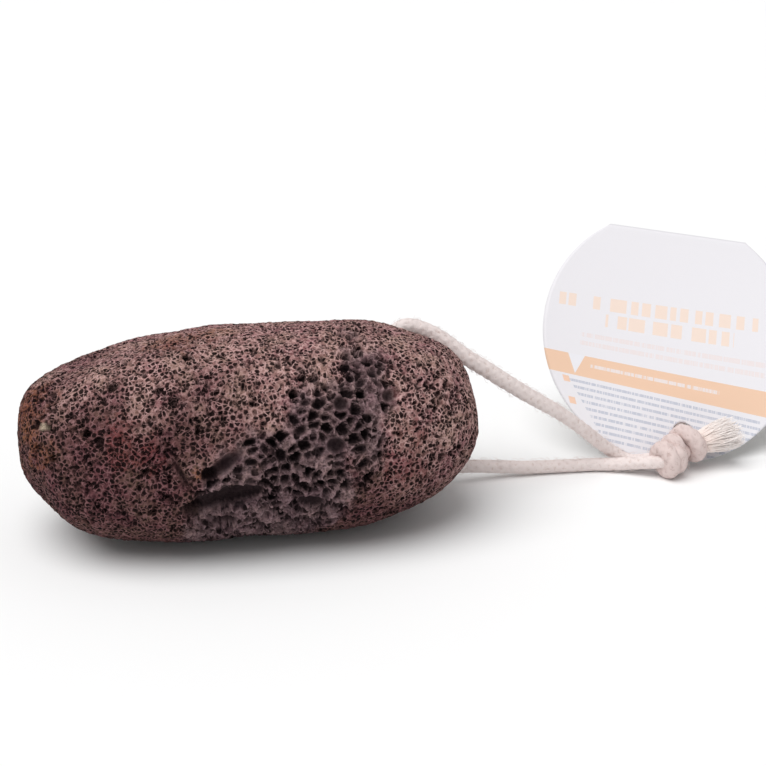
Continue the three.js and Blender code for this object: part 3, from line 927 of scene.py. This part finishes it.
def fuzz(line, radius, count, seed):
    """Loose fibres: arcs that leave the cord's surface, stand off by up to 0.8 mm and lie back
    along it."""
    draws = np.random.default_rng(seed)
    k = draws.integers(2, len(line) - 3, count)
    along = line[k + 1] - line[k - 1]
    along /= np.linalg.norm(along, axis=1, keepdims=True)
    out = draws.normal(size=(count, 3))
    out -= along * (out * along).sum(1, keepdims=True)
    out /= np.linalg.norm(out, axis=1, keepdims=True)
    aside = np.cross(along, out) * draws.normal(0, 0.6, (count, 1))
    t = np.linspace(0, 1, 5)[None, :, None]
    long = draws.uniform(0.5, 2.2, (count, 1, 1))
    high = draws.uniform(0.15, 0.8, (count, 1, 1))
    root = line[k] + out * (radius[k] * 0.95)[:, None]
    lines = root[:, None] + along[:, None] * t * long + aside[:, None] * t ** 2
    lines = lines + out[:, None] * high * np.sin(2.2 * t)
    points, quads = fibres(lines, np.full((count, 5), FUZZ_RADIUS))
    return points, quads, np.ones(len(points))


cord_points, cord_quads, cord_braid = bundle([
    tube(cord_line, cord_radius(cord_places), SIDEWAYS),
    fuzz(cord_line, cord_radius(cord_places), CORD_FUZZ, 5),
])
cord = add_mesh("hanging_cord", cord_points, cord_quads, cord_cotton, braid=cord_braid)
print("cord's faces:", len(cord.data.polygons))

# %% [markdown]
# The cord's two ends are tied together in an overhand knot. Its whole line could be
# drawn by hand, but only the outside shows: three wraps that lie side by side. So each
# wrap is a tilted ring of a little over one turn whose ends dive inside, and a plain
# core fills the middle.

# %% The knot
KNOT_FROM, KNOT_TO = np.array([98.4, 5.6, 4.5]), np.array([105.2, 9.2, 5.8])
KNOT_TUBE = 1.95
WRAP_REACH, WRAP_DIVE = 2.6, 1.9  # how far out a wrap's line lies, and how far in its ends go
KNOT_FUZZ = 150
WRAPS = [  # place along the knot, tilts in radians, start of the turn, how far it goes
    (-0.02, (0.12, 0.22), 1.2, 1.1),
    (0.34, (0.2, 0.1), 3.9, 1.1),
    (0.95, (0.05, -0.15), 0.4, 1.1),
]


def lie(direction):
    """The rotation, as a matrix, that takes +Z the shortest way to a unit direction."""
    x, y, z = direction
    return np.array([
        [1 - x * x / (1 + z), -x * y / (1 + z), x],
        [-x * y / (1 + z), 1 - y * y / (1 + z), y],
        [-x, -y, z],
    ])


def knot_mesh():
    """Three wraps round the knot's axis, each a little over one turn, with ends that dive inside,
    and a core that fills the middle."""
    axis = KNOT_TO - KNOT_FROM
    stand = lie(axis / np.linalg.norm(axis))
    parts = []
    for along, (tip, lean), start, sweep in WRAPS:
        t = np.linspace(0, 1, 150)
        turn = start + 2 * math.pi * sweep * t
        dive = 1 - step(0, 0.13, t) + step(0.87, 1, t)
        reach = WRAP_REACH + 0.5 * along - WRAP_DIVE * dive
        ring = np.column_stack([reach * np.cos(turn), reach * np.sin(turn), 1.3 * (t - 0.5)])
        cx, sx, cy, sy = math.cos(tip), math.sin(tip), math.cos(lean), math.sin(lean)
        about_x = np.array([[1, 0, 0], [0, cx, -sx], [0, sx, cx]])
        about_y = np.array([[cy, 0, sy], [0, 1, 0], [-sy, 0, cy]])
        middle = KNOT_FROM + axis * along + [0, 0, 0.8 * along]
        line = ring @ (stand @ about_y @ about_x).T + middle
        parts.append(tube(line, KNOT_TUBE, line - middle + 1e-3))
        parts.append(fuzz(line, np.full(len(line), KNOT_TUBE), KNOT_FUZZ, 8))
    t = np.linspace(0, 1, 60)
    core = KNOT_FROM + axis * (1.24 * t - 0.12)[:, None]
    core_radius = 2.5 * np.sqrt(np.maximum(1 - (2 * t - 1) ** 2, 0.0004))
    parts.append(tube(core, core_radius, SIDEWAYS))
    return bundle(parts)


knot_points, knot_quads, knot_braid = knot_mesh()
knot = add_mesh("cord_knot", knot_points, knot_quads, knot_cotton, braid=knot_braid)
print("knot, mm:", knot_points.min(0).round(1), knot_points.max(0).round(1))

# %% [markdown]
# Past the knot one end is opened into a brush, and the other shows as a short tuft
# behind the tag's hole. Each fibre keeps its own share of the brush's radius from root
# to tip, as yarns do that are held at one end, and waves a little more the further out
# it is. The cotton is paler here than in the braid, and brown at its roots.

# %% The frayed ends
BRUSH_TIP = np.array([117.2, 11.4, 7.6])
BRUSH_PROFILE = np.array([[0, 1.9], [2, 2.8], [5, 4.3], [9, 5.4], [11.6, 5.5]])  # place, radius
BRUSH_FIBRES, BRUSH_FIBRE_RADIUS, BRUSH_FLATNESS = 1600, 0.105, 0.68
TUFT_REACH = np.array([0.9, 3.0, -1.0])
TUFT_PROFILE = np.array([[0, 1.2], [3.0, 2.0]])
TUFT_FIBRES, TUFT_FIBRE_RADIUS = 130, 0.12


def brush_mesh(root, tip, profile, count, flatness, thick, seed):
    """Fibres from a root to a tip: each keeps its share q of the profile's radius, with a wave
    that grows outward."""
    draws = np.random.default_rng(seed)
    axis = tip - root
    long = np.linalg.norm(axis)
    stand = lie(axis / long)
    s = np.linspace(0, 1, 9)[None, :] * draws.uniform(0.7, 1.04, count)[:, None]
    q, turn = np.sqrt(draws.uniform(0, 1, count))[:, None], draws.uniform(0, 2 * math.pi, count)[:, None]
    reach = q * np.interp(s * profile[-1, 0], profile[:, 0], profile[:, 1])
    swirl = turn + 0.35 * s * draws.normal(size=(count, 1))
    wave = 0.35 * s * np.sin(6 * s + draws.uniform(0, 6.3, (count, 1)))
    local = np.stack([flatness * reach * np.cos(swirl) + wave, reach * np.sin(swirl) + wave, s * long], -1)
    lines = local @ stand.T + root
    radius = thick * draws.uniform(0.7, 1.3, count)[:, None] * (1.05 - 0.55 * s / s[:, -1:])
    points, quads = fibres(lines, radius, 4)
    return points, quads, np.repeat(s / s.max(), 4, axis=1).ravel()


def fibre_material():
    """Loose cotton: pale, and brown at the root."""
    material, add = new_material("frayed_cotton")
    place = add("TexCoord", out="Object")
    outward = add("Attribute", attribute_name="outward", out="Fac")
    grain = add("TexNoise", {"Vector": place, "Scale": 1 / (0.9 * MM), "Detail": 2.0}, out="Fac")
    mixed = add("Math", [grain, 0.5, outward], operation="MULTIPLY_ADD")
    browns = [(0.22, "c3a28a"), (0.42, "f6e7e0"), (0.95, "fdf6f3")]
    colour = add("ValToRGB", {"Fac": mixed}, stops=browns)
    finish_material(add, Base_Color=colour, Roughness=0.9, Specular_IOR_Level=0.1)
    return material


cord_end = ROUTE[-1]
brush_points, brush_quads, brush_out = bundle([
    brush_mesh(KNOT_TO, BRUSH_TIP, BRUSH_PROFILE, BRUSH_FIBRES, BRUSH_FLATNESS, BRUSH_FIBRE_RADIUS, 3),
    brush_mesh(cord_end, cord_end + TUFT_REACH, TUFT_PROFILE, TUFT_FIBRES, 1.0, TUFT_FIBRE_RADIUS, 4),
])
brush = add_mesh("frayed_ends", brush_points, brush_quads, fibre_material(), outward=brush_out)
print("frayed ends' faces:", len(brush.data.polygons))

# %% [markdown]
# The tag is a round of coated card, folded near its top so that it stands by itself. One
# sheet makes both leaves: rows run from the foot of the front leaf up to the fold, and
# down the back one, which is a little smaller. Each row is as wide as the circle is
# there. A slight bow keeps the leaves from being dead flat, and the thickness comes from
# a Solidify modifier.

# %% The tag's sheet
TAG_RADII = (31.4, 27.45)
FOLD_ABOVE_MIDDLE = 26.4
TAG_FOOT = np.array([105.7, 12.3, 0.3])
LEAN_FRONT, LEAN_BACK = math.radians(34), math.radians(-12.1)
TAG_YAW, TAG_TURN = math.radians(-5), math.radians(-10.3)
HOLE_AT, HOLE_RADIUS = (4.67, -23.5), 2.5
CARD_MM = 0.4
OFF_PRINT = 200  # how far the back leaf is moved off the print, mm


def leaves():
    """Middle, axes (across, rise, out), radius and fold height of the front leaf and the back one,
    which is turned about the fold."""
    right = np.array([math.cos(TAG_YAW), math.sin(TAG_YAW), 0])
    back = np.array([-math.sin(TAG_YAW), math.cos(TAG_YAW), 0])
    up = np.array([0, 0, math.cos(LEAN_FRONT)]) + back * math.sin(LEAN_FRONT)
    across = right * math.cos(TAG_TURN) + up * math.sin(TAG_TURN)
    rise = -right * math.sin(TAG_TURN) + up * math.cos(TAG_TURN)
    middle = TAG_FOOT + up * TAG_RADII[0]
    crease = middle + rise * FOLD_ABOVE_MIDDLE
    fold = math.sqrt(TAG_RADII[1] ** 2 - TAG_RADII[0] ** 2 + FOLD_ABOVE_MIDDLE ** 2)
    turn = LEAN_FRONT - LEAN_BACK
    turned = rise * math.cos(turn) + np.cross(across, rise) * math.sin(turn)
    front = (middle, across, rise, np.cross(across, rise), TAG_RADII[0], FOLD_ABOVE_MIDDLE)
    return front, (crease - turned * fold, across, turned, np.cross(turned, across), TAG_RADII[1], fold)


def tag_sheet(columns=70, rows=90):
    """On a leaf of radius R, rows at b = -R cos t, each reaching R sin t to both sides, with a bow
    0.5 (1 - (a/R)^2)(1 - (b/f)^2) mm deep. Print coordinates lean with the rows, as on the real
    card, and the back leaf's are moved out of the print."""
    points, uvs = [], []
    share = np.linspace(-1, 1, columns)[None, :]
    for shift, (middle, across, rise, out, radius, fold) in zip((0, OFF_PRINT), leaves()):
        t = np.linspace(0.03, math.acos(-fold / radius), rows)[:, None]
        a, b = radius * np.sin(t) * share, -radius * np.cos(t) * np.ones_like(share)
        bow = 0.5 * (1 - (b / fold) ** 2).clip(0, 1) * (1 - (a / radius) ** 2)
        points.append(middle + a[..., None] * across + b[..., None] * rise - bow[..., None] * out)
        lean = np.clip(0.0045 * (5 - b - 0.07 * a), 0, 0.1)
        uvs.append(np.stack([a, b + lean * a + shift], -1))
    points, uvs = (np.concatenate([v[0], v[1][-2::-1]]) for v in (points, uvs))
    return points.reshape(-1, 3), uvs.reshape(-1, 2), grid_quads(2 * rows - 1, columns, closed=False)


tag_points, tag_uv, tag_quads = tag_sheet()
print("tag, mm:", tag_points.min(0).round(1), tag_points.max(0).round(1))

# %% [markdown]
# The card is white board with a coated face, so it has a faint sheen. Its print is a
# peach band with a notch and a line of white dashes, two rows of tall pale blocks, and
# small grey rows with a bullet or two. Each row is a strip, cut into marks by noise along
# it, which gives it the weight of print. The inks are laid over the white in turn, each
# by its place in print coordinates. The back leaf and the inside are plain.

# %% The card and its print
CARD_WHITE, BARE_WHITE, BAND_PEACH, BULLET_PEACH = "e8e6ea", "e9e8ed", "ecc8ad", "efcab2"
BAND_MIDDLE, BAND_HALF = -12.05, 2.85
NOTCH_AT, NOTCH_FOOT, NOTCH_SLOPE = -22.6, -14.4, 0.4
BULLETS, BULLET_HALF = (-16.3, -21.5), 0.8
INKED_ABOVE = 0.46  # where the noise is higher, a row is inked
ROW_SHIFT = 7.3  # how far apart two rows read the noise, mm
PRINT_ROWS = [  # first row, last row and pitch; half height; scale and detail of the marks;
    # middle and half width; strength; ink
    ((-11.6, -11.6, 9.0), 0.45, (1.4, 4.0), (-3.0, 16.0), 0.7, BARE_WHITE),
    ((5.75, 5.75, 9.0), 1.71, (0.5, 0.0), (-1.0, 27.0), 1.0, "f0dccf"),
    ((1.4, 1.4, 9.0), 1.71, (0.5, 0.0), (-0.2, 16.0), 1.0, "f0dccf"),
    ((-3.4, -5.7, 2.3), 0.6, (1.3, 4.0), (1.0, 23.0), 1.0, "e9dfdf"),
    ((-16.4, -29.2, 1.6), 0.35, (1.9, 4.0), (-8.0, 31.5), 1.0, "c4c7d3"),
]


def row_factors(add, a, c, lines, half, marks, width):
    """The factors whose product is 1 in the inked part of a block of rows: its strips, its height,
    its width, and noise along it that starts anew on every row."""
    first, last, pitch = lines
    middle, half_width = width
    row = add("Math", [add("Math", [c, first], operation="SUBTRACT"), pitch], operation="DIVIDE")
    number = add("Math", [row], operation="ROUND")
    spot = add("CombineXYZ", [a, add("Math", [number, ROW_SHIFT, first], operation="MULTIPLY_ADD")])
    scale = {"Vector": spot, "Scale": marks[0], "Detail": marks[1], "Roughness": 0.9}
    block_half = (first - last) / 2 + 0.4 * pitch
    return [
        add("Math", [add("TexNoise", scale, out="Fac"), INKED_ABOVE], operation="GREATER_THAN"),
        add("Math", [row, number, half / pitch], operation="COMPARE"),
        add("Math", [c, (first + last) / 2, block_half], operation="COMPARE"),
        add("Math", [a, middle, half_width], operation="COMPARE"),
    ]


def card_material():
    """Inks on white, each with a share worked out from the print coordinates (a, c) in mm. The rows
    start at a margin that follows the card's edge."""
    material, add = new_material("coated_card")
    print_mm = add("UVMap", uv_map="print")
    a, c = (add("SeparateXYZ", [print_mm], out=axis) for axis in "XY")
    band = add("Math", [c, BAND_MIDDLE, BAND_HALF], operation="COMPARE")
    above_foot = add("Math", [c, -NOTCH_FOOT], operation="ADD")
    notch_half = add("Math", [above_foot, NOTCH_SLOPE], operation="MULTIPLY")
    notch = add("Math", [a, NOTCH_AT, notch_half], operation="COMPARE")
    margin = add("Math", [c, -0.72, -35.6], operation="MULTIPLY_ADD")
    started = add("Math", [a, margin], operation="GREATER_THAN")
    inks = [([band], BAND_PEACH), ([band, notch], BARE_WHITE)]
    for lines, half, marks, width, strength, ink in PRINT_ROWS:
        inks.append(([*row_factors(add, a, c, lines, half, marks, width), started, strength], ink))
    bullet_middle = add("Math", [c, -0.37, -30.6], operation="MULTIPLY_ADD")
    bullet = add("Math", [a, bullet_middle, BULLET_HALF], operation="COMPARE")
    for high in BULLETS:
        inks.append(([add("Math", [c, high, BULLET_HALF], operation="COMPARE"), bullet], BULLET_PEACH))
    colour = glaze(add, CARD_WHITE, inks)
    finish_material(add, Base_Color=colour, Roughness=0.5, Specular_IOR_Level=0.3)
    return material


def plain_card_material():
    """The uncoated inside of the card."""
    material, add = new_material("plain_card")
    finish_material(add, Base_Color=linear("e6e4e1"), Roughness=0.8)
    return material


print("rows of print:", sum(round((first - last) / pitch) + 1 for (first, last, pitch), *_ in PRINT_ROWS))

# %% [markdown]
# The sheet gets its thickness from a Solidify modifier, which also gives the inner side
# the second material. The hole for the cord is punched through the front leaf, as the
# stone's was, by a round pin square to the leaf.

# %% The finished tag


def add_tag():
    """The sheet, with its print coordinates, its thickness and its hole."""
    tag = add_mesh("folded_tag", tag_points, tag_quads, card_material())
    tag.data.materials.append(plain_card_material())
    layer = tag.data.uv_layers.new(name="print")
    corner = np.empty(len(tag.data.loops), np.int32)
    tag.data.loops.foreach_get("vertex_index", corner)
    layer.data.foreach_set("uv", tag_uv[corner].astype(np.float32).ravel())
    thick = tag.modifiers.new("card", "SOLIDIFY")
    thick.thickness, thick.offset, thick.material_offset = CARD_MM * MM, 0.0, 1

    middle, across, rise, out = leaves()[0][:4]
    hole = middle + HOLE_AT[0] * across + HOLE_AT[1] * rise
    turns = np.linspace(0, 2 * math.pi, 64, endpoint=False)[:, None]
    rim = hole + HOLE_RADIUS * (np.cos(turns) * across + np.sin(turns) * rise)
    punch(tag, np.stack([rim - 2 * out, rim + 2 * out]))
    return tag


tag = add_tag()
print("tag's faces:", len(tag.data.polygons))

# %% [markdown]
# Each piece stands for a solid of the same part: it rides with the same body and takes
# that solid's place, and the solid is hidden.

for piece, nodes, slot in (
    (stone, ["stone"], "lava_stone"),
    (cord, ["cord"], "cotton_cord"),
    (knot, ["knot"], "cotton_cord"),
    (brush, ["cord_ends"], "frayed_cotton"),
    (tag, ["swing_tag"], "coated_card"),
):
    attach(piece, "root")
    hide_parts(*nodes)

print("handed over:", [piece.name for piece in (stone, cord, knot, brush, tag)])
